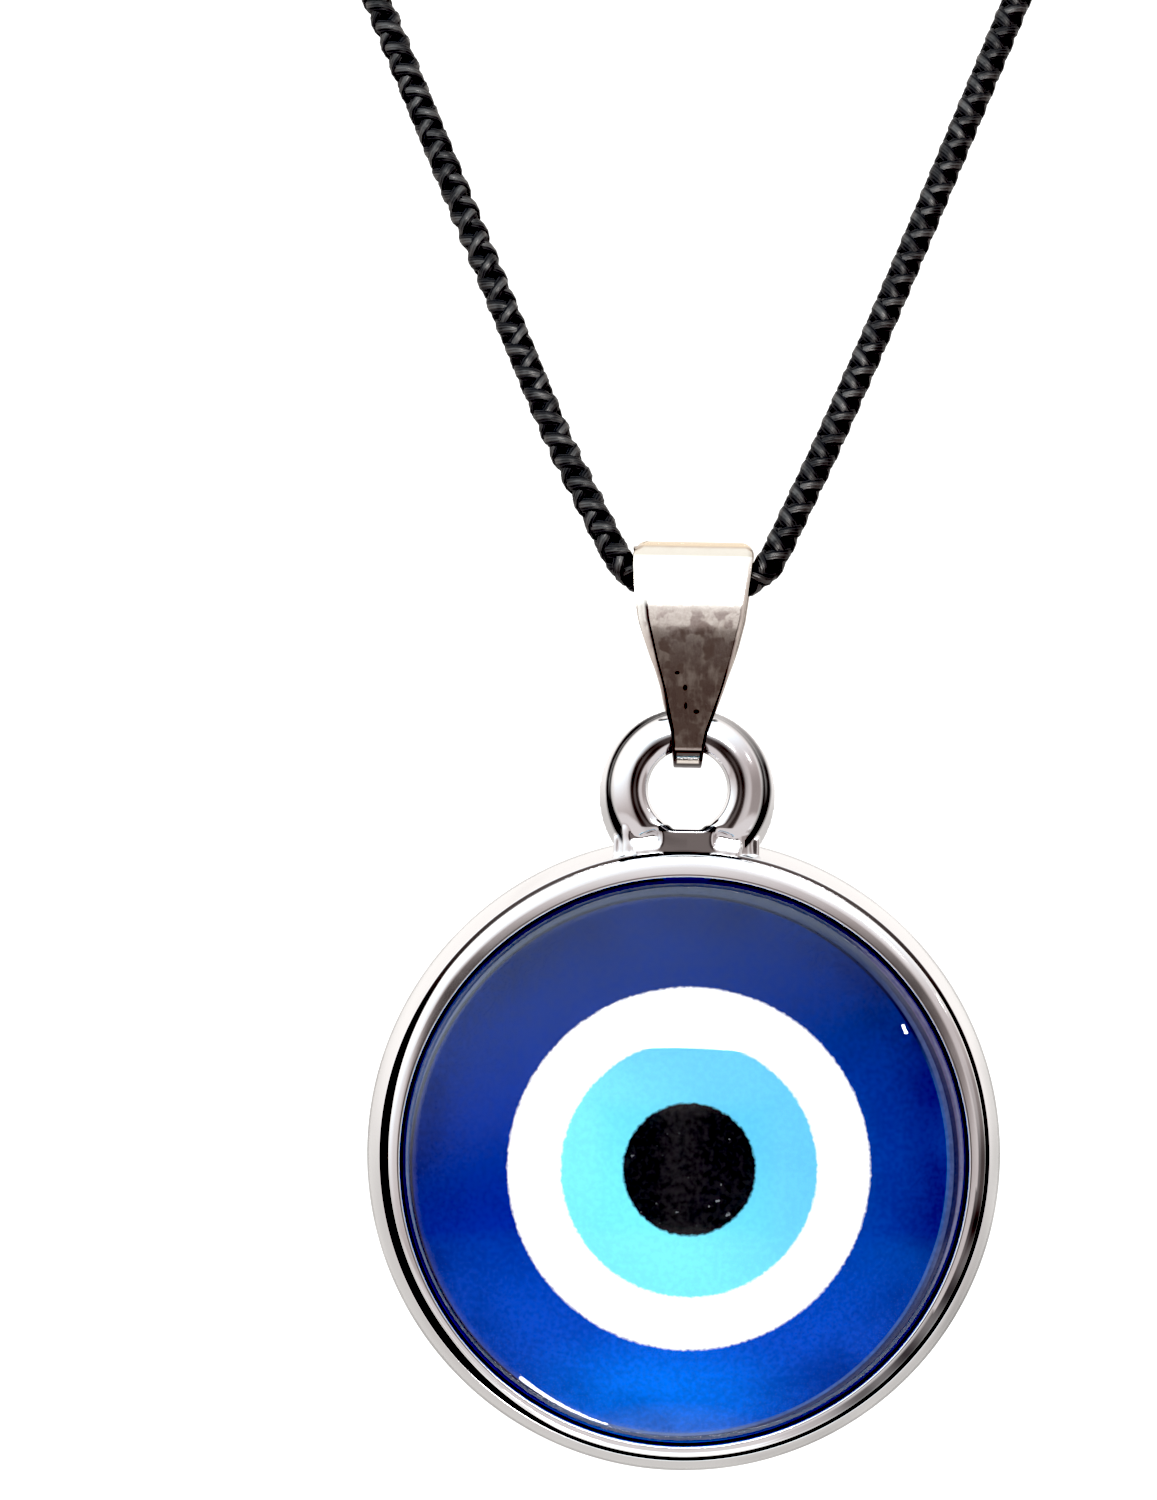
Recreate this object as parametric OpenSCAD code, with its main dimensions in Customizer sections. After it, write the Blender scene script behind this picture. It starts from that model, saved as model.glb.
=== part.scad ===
// Round eye pendant: a domed glass over a printed eye in a cast metal tray, hung by a strip bail
// from a braided cord that is worn round the neck.
// +Z is up and the eye looks along -Y. The origin is at the nape, where the clasp lies on the neck.

/* [Glass] */
// Diameter of the glass
glass_d = 25.0; // [20:0.1:30]
// Thickness of the glass at its middle
glass_h = 6.0; // [4:0.1:8]
// Height of the straight edge below the dome
glass_edge = 1.5; // [1:0.1:2.5]

/* [Tray] */
// Gap between the glass and the wall of the tray
cup_gap = 0.1; // [0.05:0.05:0.3]
// Thickness of the wall at the rim
rim_wall = 0.85; // [0.6:0.05:1.5]
// How much further the wall stands out at the back than at the rim
wall_draft = 0.55; // [0:0.05:1]
// Depth of the tray from its back to its rim
tray_h = 3.4; // [2.8:0.1:5]
// Thickness of the back plate
back_t = 1.0; // [0.6:0.1:1.4]
// Bevel round the edge of the back
back_bevel = 0.3; // [0.1:0.05:0.5]

/* [Loop on the tray] */
// Thickness of the loop's round wire
loop_wire_d = 1.7; // [1.2:0.1:2]
// Diameter of the hole in the loop
loop_hole_d = 3.6; // [3.4:0.1:5]
// Height of the loop's centre above the edge of the tray
loop_rise = 2.5; // [2.2:0.1:3.5]
// Distance of the loop's plane in front of the tray's back
loop_depth = 2.0; // [1:0.1:2.2]
// How much further the loop stands out at its back than round its wire
loop_draft = 0.3; // [0.2:0.05:0.4]
// How far the outline of the loop's back lies below the wire
loop_sag = 0.35; // [0.3:0.05:0.5]
// Radius of the fillets at the foot of the loop
loop_fillet_r = 1.0; // [0.5:0.1:2]
// Thickness of the web between those fillets
loop_web_t = 1.3; // [0.8:0.1:1.6]

/* [Printed eye] */
// Thickness of the print
print_t = 0.2; // [0.1:0.05:0.4]
// Diameter of the white
white_d = 14.8; // [12:0.1:17]
// Diameter of the iris
iris_d = 10.3; // [8:0.1:11.5]
// Diameter of the pupil
pupil_d = 5.3; // [3:0.1:7]
// How far the eye lies to the right of the tray's centre
eye_right = 0.2; // [-0.5:0.1:0.5]
// How far the eye lies below the tray's centre
eye_down = 0.3; // [-0.5:0.1:0.5]

/* [Bail] */
// Width of the strip where it folds over the cord
bail_top_w = 5.2; // [4:0.1:6]
// Width of the strip at its foot
bail_foot_w = 1.25; // [1:0.05:1.6]
// Thickness of the strip
bail_t = 0.45; // [0.3:0.05:0.6]
// Inside diameter of the eye over the cord
bail_eye_d = 2.4; // [2.3:0.1:3]
// Distance from the cord to the loop's wire, centre to centre
bail_drop = 6.7; // [6:0.1:9]
// Radius of the strip's two top corners
bail_corner_r = 0.5; // [0.2:0.1:0.8]
// Gap between the foot of the bail and the loop's wire
foot_gap = 0.4; // [0.3:0.05:0.5]

/* [Cord] */
// Diameter of the braided cord
cord_d = 1.4; // [1:0.1:1.5]

/* [Clasp] */
// Diameter of the barrel clasp
clasp_d = 4.0; // [3:0.1:6]
// Length of the barrel clasp
clasp_l = 14.0; // [12:0.5:20]
// Radius of its rounded ends
clasp_round_r = 0.8; // [0.3:0.1:1]
// Gap round the cord in each socket
socket_gap = 0.1; // [0.05:0.05:0.3]

/* [Hidden] */
$fn = 96;

// Gap between pieces that seat on each other
seat_gap = 0.05;

// From the clasp to the eye of the bail
drop_back = 115;
drop_down = 150;
nape = [0, clasp_d / 2, 0];
bail_eye = nape - [0, drop_back, drop_down];

// The cord's route, measured from the eye of the bail: over the bail, up both sides of the neck and
// round it to the clasp. Its ends stop this far from the clasp's middle.
cord_end_x = 4;
cord_route = [
    [-cord_end_x, 115, 150], [-9, 115, 150], [-14.5, 114.7, 150], [-24, 112, 150],
    [-35, 106.5, 150], [-45.5, 97.5, 150], [-53.5, 85, 148], [-57, 71, 143],
    [-55.5, 58, 132.5], [-50.5, 46.5, 115.5], [-41, 35.5, 89.5], [-28, 22.7, 57.5],
    [-14.8, 10.3, 26.4], [-9.1, 5, 13], [-6.3, 2.4, 6.5], [-4.7, 1.1, 3.3],
    [-3.4, 0.2, 0.85], [-2.9, 0.05, 0.25], [-2.15, 0, -0.2], [-1.1, 0, -0.4],
    [0, 0, -0.4],
    [1.1, 0, -0.4], [2.15, 0, -0.2], [2.9, 0.05, 0.25], [3.4, 0.2, 0.85],
    [4.6, 1.1, 3.4], [6.1, 2.4, 6.7], [8.9, 5, 13.3], [14.4, 10.3, 26.9],
    [27, 22.7, 58], [40, 35.5, 90], [50, 46.5, 116], [55.5, 58, 133],
    [57, 71, 143], [53.5, 85, 148], [45.5, 97.5, 150], [35, 106.5, 150],
    [24, 112, 150], [14.5, 114.7, 150], [9, 115, 150], [cord_end_x, 115, 150]
];
cord_sides = 8;
cord_steps = 2;
// Square to the plane that the loop of cord lies in, and never along the cord
cord_normal = [0, -0.9, 0.44];

// Radii of the tray and of the glass
glass_r = glass_d / 2;
cup_r = glass_r + cup_gap;
rim_r = cup_r + rim_wall;
tray_r = rim_r + wall_draft;
dome_h = glass_h - glass_edge;
dome_r = (glass_r * glass_r + dome_h * dome_h) / (2 * dome_h);

// The loop, measured upwards from the tray's centre
wire_r = loop_wire_d / 2;
loop_r = loop_hole_d / 2 + wire_r;
loop_up = tray_r + loop_rise;
neck_r = tray_r - wall_draft / 2;

// Heights above the tray's back, towards the front
print_at = back_t + seat_gap;
glass_at = print_at + print_t + seat_gap;
field_r = cup_r - 2 * cup_gap;

// The bail
eye_r = bail_eye_d / 2;
foot_r = wire_r + foot_gap;
bail_h = eye_r + bail_drop + foot_r + 2 * bail_t;
// Width of the strip on its way down, as shares of its height and of how much it narrows
bail_taper = [
    [0, 1], [0.1, 0.96], [0.35, 0.79], [0.52, 0.58],
    [0.7, 0.34], [0.84, 0.14], [0.93, 0.05], [1, 0]
];

tray_centre = bail_eye - [0, 0, bail_drop + loop_r + loop_up];

socket_r = cord_d / 2 + socket_gap;

function unit(v) = v / norm(v);

// Direction of a line of points at one of them
function heading(p, i) = unit(p[min(i + 1, len(p) - 1)] - p[max(i - 1, 0)]);

// A point on the smooth curve between points i and i + 1 of a route
function on_curve(p, i, t) =
    let (reach = norm(p[i + 1] - p[i]))
    (2 * pow(t, 3) - 3 * pow(t, 2) + 1) * p[i]
    + (pow(t, 3) - 2 * pow(t, 2) + t) * reach * heading(p, i)
    + (3 * pow(t, 2) - 2 * pow(t, 3)) * p[i + 1]
    + (pow(t, 3) - pow(t, 2)) * reach * heading(p, i + 1);

function smooth(p, steps) = [
    for (i = [0 : len(p) - 2]) for (k = [0 : steps - 1]) on_curve(p, i, k / steps),
    p[len(p) - 1]
];

function ring_at(p, i, r, sides) =
    let (
        along = heading(p, i),
        across = unit(cross(along, cord_normal)),
        out = cross(across, along)
    )
    [for (s = [0 : sides - 1]) p[i] + r * (cos(360 * s / sides) * across + sin(360 * s / sides) * out)];

module tube(p, r, sides) {
    rings = len(p);
    points = [for (i = [0 : rings - 1]) each ring_at(p, i, r, sides)];
    walls = [
        for (i = [0 : rings - 2]) for (s = [0 : sides - 1])
            let (a = i * sides + s, b = i * sides + (s + 1) % sides)
            each [[a, b, b + sides], [a, b + sides, a + sides]]
    ];
    first = [for (s = [0 : sides - 1]) sides - 1 - s];
    last = [for (s = [0 : sides - 1]) (rings - 1) * sides + s];
    polyhedron(points, concat(walls, [first, last]));
}

// Turns a shape drawn from the back of the tray upwards to its place in front of that back
module in_tray(right = 0, down = 0) {
    translate(tray_centre + [right, loop_depth, -down]) rotate([90, 0, 0]) children();
}

// Lays a flat drawing of X and Z upright in the plane of the loop
module upright(thick) {
    rotate([90, 0, 0]) linear_extrude(height = thick, center = true) children();
}

module cord() {
    color("#141416") translate(bail_eye) tube(smooth(cord_route, cord_steps), cord_d / 2, cord_sides);
}

module clasp() {
    color("silver") translate(nape) rotate([0, 90, 0]) difference() {
        rotate_extrude() union() {
            translate([0, -clasp_l / 2]) square([clasp_d / 2 - clasp_round_r, clasp_l]);
            translate([0, clasp_round_r - clasp_l / 2])
                square([clasp_d / 2, clasp_l - 2 * clasp_round_r]);
            for (end = [-1, 1])
                translate([clasp_d / 2 - clasp_round_r, end * (clasp_l / 2 - clasp_round_r)])
                    circle(clasp_round_r);
        }
        for (end = [0, 180])
            rotate([0, end, 0]) translate([0, 0, cord_end_x - seat_gap]) cylinder(r = socket_r, h = clasp_l);
    }
}

// Half a turn of the strip, as wide as it can be, that starts at an angle
module bail_fold(r, from) {
    rotate([0, 0, from]) rotate_extrude(angle = 180)
        translate([r, -bail_top_w / 2]) square([bail_t, bail_top_w]);
}

// The folded strip before its sides are cut: a fold over the cord, a fold under the wire, two legs
module bail_loop() {
    bail_fold(eye_r, 0);
    translate([0, -bail_drop, 0]) bail_fold(foot_r, 180);
    for (side = [0, 1]) mirror([side, 0, 0]) linear_extrude(height = bail_top_w, center = true)
        polygon([
            [eye_r, 0], [eye_r + bail_t, 0],
            [foot_r + bail_t, -bail_drop], [foot_r, -bail_drop]
        ]);
}

// The strip seen from the front: wide and round-cornered at the top, narrow at the foot
module bail_front() {
    top_z = eye_r + bail_t;
    half = [for (row = bail_taper) (bail_foot_w + row[1] * (bail_top_w - bail_foot_w)) / 2];
    corner_x = half[0] - bail_corner_r;
    outline = [for (i = [1 : len(bail_taper) - 1]) [half[i], top_z - bail_taper[i][0] * bail_h]];
    polygon(concat(
        [for (a = [90 : -10 : 0])
            [corner_x + bail_corner_r * cos(a), top_z - bail_corner_r * (1 - sin(a))]],
        outline,
        [for (i = [len(outline) - 1 : -1 : 0]) [-outline[i][0], outline[i][1]]],
        [for (a = [0 : 10 : 90])
            [-corner_x - bail_corner_r * cos(a), top_z - bail_corner_r * (1 - sin(a))]]
    ));
}

module bail() {
    color("#b9b7b0") translate(bail_eye) intersection() {
        rotate([90, 0, 90]) bail_loop();
        upright(bail_h) bail_front();
    }
}

module tray_cup() {
    lip_r = rim_wall / 2;
    rotate_extrude() {
        polygon([
            [0, 0], [tray_r - back_bevel, 0], [tray_r, back_bevel], [rim_r, tray_h - lip_r],
            [cup_r, tray_h - lip_r], [cup_r, back_t], [0, back_t]
        ]);
        translate([cup_r + lip_r, tray_h - lip_r]) circle(lip_r);
    }
}

// The web that fillets the loop into the tray, seen from the front
module loop_web() {
    to_neck = neck_r + loop_fillet_r;
    to_loop = loop_r + wire_r + loop_fillet_r;
    fillet_z = (pow(to_neck, 2) - pow(to_loop, 2) + pow(loop_up, 2)) / (2 * loop_up);
    fillet_x = sqrt(pow(to_neck, 2) - pow(fillet_z, 2));
    difference() {
        polygon([[0, 0], [fillet_x, fillet_z], [0, loop_up], [-fillet_x, fillet_z]]);
        for (side = [-1, 1]) translate([side * fillet_x, fillet_z]) circle(loop_fillet_r);
        circle(cup_r + rim_wall / 2);
        translate([0, loop_up]) circle(loop_r);
    }
}

// The loop's drafted back, drawn about the centre of the loop with its front upwards
module loop_back() {
    outer_r = loop_r + wire_r;
    translate([0, 0, -0.9 * wire_r]) difference() {
        translate([0, -loop_sag, 0]) cylinder(r1 = outer_r + loop_draft, r2 = outer_r - 0.1, h = wire_r);
        translate([0, 0, -1]) cylinder(r = loop_r, h = wire_r + 2);
        translate([0, -loop_up, -1]) cylinder(r = cup_r + rim_wall / 2, h = wire_r + 2);
    }
}

module tray() {
    color("gainsboro") {
        in_tray() tray_cup();
        translate(tray_centre) upright(loop_web_t) loop_web();
        translate(tray_centre + [0, 0, loop_up]) rotate([90, 0, 0]) {
            rotate_extrude() translate([loop_r, 0]) circle(wire_r);
            loop_back();
        }
    }
}

module glass() {
    color("#bfe0ff", 0.35) in_tray() translate([0, 0, glass_at]) intersection() {
        cylinder(r = glass_r, h = glass_h);
        translate([0, 0, glass_h - dome_r]) sphere(dome_r, $fn = 192);
    }
}

module eye_disc(d) {
    in_tray(eye_right, eye_down) translate([0, 0, print_at]) cylinder(d = d, h = print_t);
}

// A ring of the print, with its hole round the next smaller colour
module eye_ring(d, hole_d) {
    in_tray(eye_right, eye_down) translate([0, 0, print_at]) difference() {
        cylinder(d = d, h = print_t);
        translate([0, 0, -1]) cylinder(d = hole_d + 2 * seat_gap, h = print_t + 2);
    }
}

module eye_field() {
    color("#0a3cc4") difference() {
        in_tray() translate([0, 0, print_at]) cylinder(r = field_r, h = print_t);
        in_tray(eye_right, eye_down) cylinder(d = white_d + 2 * seat_gap, h = tray_h);
    }
}

module eye_white() {
    color("white") eye_ring(white_d, iris_d);
}

module eye_iris() {
    color("#5cc8f5") eye_ring(iris_d, pupil_d);
}

module eye_pupil() {
    color("#111114") eye_disc(pupil_d);
}

cord();
clasp();
bail();
tray();
glass();
eye_field();
eye_white();
eye_iris();
eye_pupil();
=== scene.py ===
"""Round eye pendant on a braided cord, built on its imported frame. Metres, +Z up, front to -Y."""

import math

import bmesh
import bpy
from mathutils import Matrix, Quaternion, Vector


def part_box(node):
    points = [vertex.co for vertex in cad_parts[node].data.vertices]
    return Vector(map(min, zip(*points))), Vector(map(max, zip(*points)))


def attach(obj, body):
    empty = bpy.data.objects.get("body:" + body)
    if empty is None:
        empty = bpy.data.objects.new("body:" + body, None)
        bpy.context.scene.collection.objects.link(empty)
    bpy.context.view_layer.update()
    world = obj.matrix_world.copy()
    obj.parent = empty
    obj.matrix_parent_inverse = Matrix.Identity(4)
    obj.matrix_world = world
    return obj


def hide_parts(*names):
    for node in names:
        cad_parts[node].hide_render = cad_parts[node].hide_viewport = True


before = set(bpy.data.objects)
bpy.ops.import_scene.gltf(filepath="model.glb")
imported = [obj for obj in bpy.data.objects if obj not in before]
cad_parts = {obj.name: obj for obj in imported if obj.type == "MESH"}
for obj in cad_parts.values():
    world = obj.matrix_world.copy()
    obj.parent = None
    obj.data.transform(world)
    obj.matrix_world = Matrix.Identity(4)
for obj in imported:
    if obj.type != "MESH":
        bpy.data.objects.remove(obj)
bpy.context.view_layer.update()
MM = 0.001

# Camera. It looks straight at the front of the eye from 0.3 m, rolled by one degree because the
# pendant lies a little askew. Its frame is 51.4 mm wide at the pendant, and its whites are bright.
VIEW_CENTRE = Vector((-5.02, -113.0, -157.69)) * MM
VIEW_DISTANCE = 300 * MM
FRAME_WIDTH = 51.42 * MM
FILM_WIDTH = 36
CAMERA_ROLL = -1.03
BLACK_LEVEL = 0.028
WHITE_LEVEL = 0.68
camera = bpy.data.objects.new("camera", bpy.data.cameras.new("camera"))
camera.data.sensor_fit = "HORIZONTAL"
camera.data.sensor_width = FILM_WIDTH
camera.data.lens = FILM_WIDTH * VIEW_DISTANCE / FRAME_WIDTH
camera.data.clip_start = 0.01
camera.location = VIEW_CENTRE - Vector((0, VIEW_DISTANCE, 0))
camera.rotation_mode = "XYZ"
camera.rotation_euler = (math.radians(90), math.radians(CAMERA_ROLL), 0)
bpy.context.scene.collection.objects.link(camera)
bpy.context.scene.camera = camera
tone = bpy.context.scene.view_settings
tone.view_transform = "Standard"
tone.use_curve_mapping = True
tone.curve_mapping.black_level = (BLACK_LEVEL, BLACK_LEVEL, BLACK_LEVEL)
tone.curve_mapping.white_level = (WHITE_LEVEL, WHITE_LEVEL, WHITE_LEVEL)
tone.curve_mapping.update()


# Studio. A room lit from above and from the left, with a darker right side, a dim patch straight in
# front of the pendant, and lit paper below and behind it. The lens itself sees plain white.
WINDOW_WAY = (-0.35, 0.0, 0.94)
ROOM_STRENGTH = 1.3
GLASS_LIFT = 1.3
LAMP_CENTRE = Vector((0, -113, -173)) * MM
FLOOR_Z = -280 * MM
FLOOR_R = 620 * MM


def put(tree, kind, sockets=None, **settings):
    """Adds a node, sets its properties, and links or fills its inputs."""
    made = tree.nodes.new(kind)
    for name, value in settings.items():
        setattr(made, name, value)
    for name, value in (sockets or {}).items():
        if isinstance(value, bpy.types.NodeSocket):
            tree.links.new(value, made.inputs[name])
        else:
            made.inputs[name].default_value = value
    return made


def calc(tree, operation, *values):
    """A Math node on numbers or sockets."""
    return put(tree, "ShaderNodeMath", dict(enumerate(values)), operation=operation).outputs[0]


def vector_calc(tree, operation, *values):
    """A Vector Math node; a Dot Product or a Length comes out as a number."""
    made = put(tree, "ShaderNodeVectorMath", dict(enumerate(values)), operation=operation)
    return made.outputs["Value" if operation in ("DOT_PRODUCT", "LENGTH") else "Vector"]


def ease(tree, value, start, end, low=0.0, high=1.0):
    """Goes smoothly from low to high while the value goes from start to end."""
    sockets = {"Value": value, "From Min": start, "From Max": end, "To Min": low, "To Max": high}
    return put(tree, "ShaderNodeMapRange", sockets, interpolation_type="SMOOTHSTEP").outputs["Result"]


def blend_colours(tree, share, first, second, way="MIX"):
    """Mixes two colours or colour sockets."""
    made = put(tree, "ShaderNodeMix", data_type="RGBA", blend_type=way)
    for socket, value in zip((made.inputs[0], made.inputs[6], made.inputs[7]), (share, first, second)):
        if isinstance(value, bpy.types.NodeSocket):
            tree.links.new(value, socket)
        else:
            socket.default_value = value if isinstance(value, (int, float)) else (*value, 1)
    return made.outputs[2]


room = bpy.data.worlds.new("white_room")
room.use_nodes = True
bpy.context.scene.world = room
sky = room.node_tree
sky.nodes.clear()
way = put(sky, "ShaderNodeTexCoord").outputs["Generated"]
right, back, up = put(sky, "ShaderNodeSeparateXYZ", {0: way}).outputs
beside = calc(sky, "ABSOLUTE", right)
behind = ease(sky, back, 0.0, 0.3)
lit = ease(sky, vector_calc(sky, "DOT_PRODUCT", way, WINDOW_WAY), -0.3, 1.0, 0.2, 1.0)
pale_side = calc(sky, "MULTIPLY", ease(sky, right, 0.3, 0.45), ease(sky, right, 1.0, 0.7))
pale_side = calc(sky, "MULTIPLY", pale_side, ease(sky, back, 0.05, -0.2, 0.0, 0.36))
paper_behind = ease(sky, up, -0.3, -0.6, 0.0, 0.95)
paper_behind = calc(sky, "MULTIPLY", paper_behind, ease(sky, back, -0.15, 0.15))
paper_below = ease(sky, up, -0.2, -0.4, 0.0, 0.42)
straight_down = ease(sky, up, -0.88, -1.0, 0.0, 0.85)
for patch in (pale_side, paper_behind, paper_below, straight_down):
    lit = calc(sky, "MAXIMUM", lit, patch)
dim = ease(sky, beside, 0.04, 0.16, 0.11, 0.045)
past_dim = ease(sky, up, 0.15, 0.28)
for edge in (ease(sky, beside, 0.3, 0.45), ease(sky, back, -0.3, 0.05), ease(sky, up, -0.28, -0.42)):
    past_dim = calc(sky, "MAXIMUM", past_dim, edge)
lit = calc(sky, "MULTIPLY_ADD", calc(sky, "SUBTRACT", lit, dim), past_dim, dim)
wall = ease(sky, up, -0.25, 0.25, 0.36, 0.57)
lit = calc(sky, "MULTIPLY_ADD", calc(sky, "SUBTRACT", wall, lit), behind, lit)
tint = blend_colours(sky, ease(sky, lit, 0.1, 0.9), (1.0, 0.87, 0.84), (0.86, 0.95, 1.0))
tint = blend_colours(sky, behind, tint, (1.0, 0.97, 0.94))
rays = put(sky, "ShaderNodeLightPath").outputs
in_glass = calc(sky, "ADD", lit, GLASS_LIFT)
on_metal = calc(sky, "MULTIPLY", lit, ROOM_STRENGTH)
felt = put(sky, "ShaderNodeBackground", {"Color": tint, "Strength": on_metal})
shone = put(sky, "ShaderNodeBackground", {"Color": (1, 0.98, 0.98, 1), "Strength": in_glass})
seen = put(sky, "ShaderNodeBackground", {"Color": (1, 1, 1, 1), "Strength": 1.0})
either = felt.outputs[0]
for ray, other in (("Is Transmission Ray", shone), ("Is Camera Ray", seen)):
    either = put(sky, "ShaderNodeMixShader", {0: rays[ray], 1: either, 2: other.outputs[0]}).outputs[0]
put(sky, "ShaderNodeOutputWorld", {"Surface": either})


def lamp(name, toward, roll, width, height, watts):
    """A lamp that the metal and the glass mirror, and that lights nothing else."""
    made = bpy.data.objects.new(name, bpy.data.lights.new(name, "AREA"))
    made.data.shape = "RECTANGLE"
    made.data.size = width
    made.data.size_y = height
    made.data.energy = watts
    made.location = LAMP_CENTRE + Vector(toward)
    made.rotation_mode = "QUATERNION"
    facing = Vector(toward).to_track_quat("Z", "Y")
    made.rotation_quaternion = facing @ Quaternion((0, 0, 1), math.radians(roll))
    made.visible_diffuse = False
    made.visible_transmission = False
    made.visible_camera = False
    bpy.context.scene.collection.objects.link(made)


lamp("ceiling_strip", (0.12, -0.858, 0.5), -4, 0.72, 0.07, 3.0)
lamp("side_spot", (0.839, -0.307, 0.456), 0, 0.015, 0.035, 0.12)
lamp("low_strip", (-0.043, -0.0156, -0.1), 11, 0.003, 0.038, 0.006)

bpy.ops.mesh.primitive_circle_add(
    vertices=96, radius=FLOOR_R, fill_type="NGON", location=(0, 0, FLOOR_Z))
floor = bpy.context.object
floor.name = "floor"
paper = bpy.data.materials.new("floor_paper")
paper.use_nodes = True
matt = paper.node_tree.nodes["Principled BSDF"].inputs
matt["Base Color"].default_value = (0.86, 0.85, 0.84, 1)
matt["Roughness"].default_value = 0.7
floor.data.materials.append(paper)
floor.visible_glossy = False


# Cord. A black nylon cord of four yarns, two laid each way and plaited over and under one another
# round a thin core. It is one whole loop, and its ends are glued into the clasp at the nape.
def finish_named(name):
    """A new material with its node tree, its Principled shader and its Object coordinates."""
    finish = bpy.data.materials.new(name)
    finish.use_nodes = True
    tree = finish.node_tree
    place = put(tree, "ShaderNodeTexCoord").outputs["Object"]
    return finish, tree, tree.nodes["Principled BSDF"], place


def feed(tree, shader, **values):
    """Sets or links the shader's inputs, named with underscores for spaces."""
    for name, value in values.items():
        socket = shader.inputs[name.replace("_", " ")]
        if isinstance(value, bpy.types.NodeSocket):
            tree.links.new(value, socket)
        else:
            socket.default_value = value


def modelled(name, mesh, finish):
    """Puts a mesh into the scene as a piece with one finish, shaded smooth."""
    piece = bpy.data.objects.new(name, mesh)
    bpy.context.scene.collection.objects.link(piece)
    mesh.materials.clear()
    mesh.materials.append(finish)
    mesh.shade_smooth()
    return piece


# The cord's route in millimetres from the bail's eye, as part.scad has it, but 0.2 mm higher where
# it is hidden in the bail.
BAIL_EYE = Vector((0, -113, -150)) * MM
CORD_ROUTE = [
    (-4, 115, 150), (-9, 115, 150), (-14.5, 114.7, 150), (-24, 112, 150),
    (-35, 106.5, 150), (-45.5, 97.5, 150), (-53.5, 85, 148), (-57, 71, 143),
    (-55.5, 58, 132.5), (-50.5, 46.5, 115.5), (-41, 35.5, 89.5), (-28, 22.7, 57.5),
    (-14.8, 10.3, 26.4), (-9.1, 5, 13), (-6.3, 2.4, 6.5), (-4.7, 1.1, 3.3),
    (-3.4, 0.2, 0.85), (-2.9, 0.05, 0.25), (-2.15, 0, -0.12), (-1.1, 0, -0.2),
    (0, 0, -0.2),
    (1.1, 0, -0.2), (2.15, 0, -0.12), (2.9, 0.05, 0.25), (3.4, 0.2, 0.85),
    (4.6, 1.1, 3.4), (6.1, 2.4, 6.7), (8.9, 5, 13.3), (14.4, 10.3, 26.9),
    (27, 22.7, 58), (40, 35.5, 90), (50, 46.5, 116), (55.5, 58, 133),
    (57, 71, 143), (53.5, 85, 148), (45.5, 97.5, 150), (35, 106.5, 150),
    (24, 112, 150), (14.5, 114.7, 150), (9, 115, 150), (4, 115, 150),
]
CORD_NORMAL = (0, -0.9, 0.44)
ROUTE_STEPS = 12
STRANDS = 11.0
STRAND_LAY = 5200.0


def smooth_route(points, steps):
    """Points on the smooth curve through the given ones, as part.scad draws it."""
    last = len(points) - 1

    def heading(i):
        return (points[min(i + 1, last)] - points[max(i - 1, 0)]).normalized()

    curve = []
    for i in range(last):
        reach = (points[i + 1] - points[i]).length
        for k in range(steps):
            t = k / steps
            curve.append(
                (2 * t**3 - 3 * t**2 + 1) * points[i]
                + (t**3 - 2 * t**2 + t) * reach * heading(i)
                + (3 * t**2 - 2 * t**3) * points[i + 1]
                + (t**3 - t**2) * reach * heading(i + 1)
            )
    return curve + [points[last]]


nylon, tree, shader, place = finish_named("black_nylon")
round_yarn = put(tree, "ShaderNodeAttribute", attribute_name="round_yarn").outputs["Vector"]
along_yarn = put(tree, "ShaderNodeAttribute", attribute_name="along_yarn").outputs["Fac"]
side = put(tree, "ShaderNodeSeparateXYZ", {0: round_yarn})
angle = calc(tree, "ARCTAN2", side.outputs["Y"], side.outputs["X"])
lay = calc(tree, "MULTIPLY_ADD", angle, STRANDS, calc(tree, "MULTIPLY", along_yarn, STRAND_LAY))
strands = calc(tree, "MULTIPLY_ADD", calc(tree, "SINE", lay), 0.5, 0.5)
patches = put(tree, "ShaderNodeTexNoise", {"Vector": place, "Scale": 900.0, "Detail": 3.0}).outputs[0]
black = blend_colours(tree, strands, (0.019, 0.018, 0.019), (0.04, 0.038, 0.04))
worn = ease(tree, calc(tree, "COSINE", angle), 0.7, 0.98)
worn = calc(tree, "MULTIPLY", worn, ease(tree, patches, 0.38, 0.58, 0.15, 1.0))
feed(
    tree, shader, Base_Color=black, IOR=1.52, Specular_Tint=(1, 0.94, 0.9, 1),
    Specular_IOR_Level=calc(tree, "MULTIPLY_ADD", worn, 0.85, 0.15),
    Roughness=calc(tree, "MULTIPLY_ADD", worn, -0.15, ease(tree, patches, 0.35, 0.7, 0.38, 0.52)),
    Normal=put(
        tree, "ShaderNodeBump", {"Height": strands, "Strength": 0.5, "Distance": 0.02 * MM}
    ).outputs[0],
)

plait = bpy.data.node_groups.new("four_yarn_plait", "GeometryNodeTree")
PLAIT_SIZES = {
    "Pitch": 2.45 * MM, "Steps": 13.0, "Radius": 0.33 * MM, "Weave": 0.05 * MM, "Turn": 1.27,
    "Twist": 130.0, "Twisted": 250 * MM, "Yarn Width": 0.84 * MM, "Yarn Height": 0.65 * MM,
    "Core": 0.3 * MM,
}
plait.interface.new_socket("Route", in_out="INPUT", socket_type="NodeSocketGeometry")
for label in PLAIT_SIZES:
    plait.interface.new_socket(label, in_out="INPUT", socket_type="NodeSocketFloat")
plait.interface.new_socket("Finish", in_out="INPUT", socket_type="NodeSocketMaterial")
plait.interface.new_socket("Cord", in_out="OUTPUT", socket_type="NodeSocketGeometry")
given = put(plait, "NodeGroupInput").outputs
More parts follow.
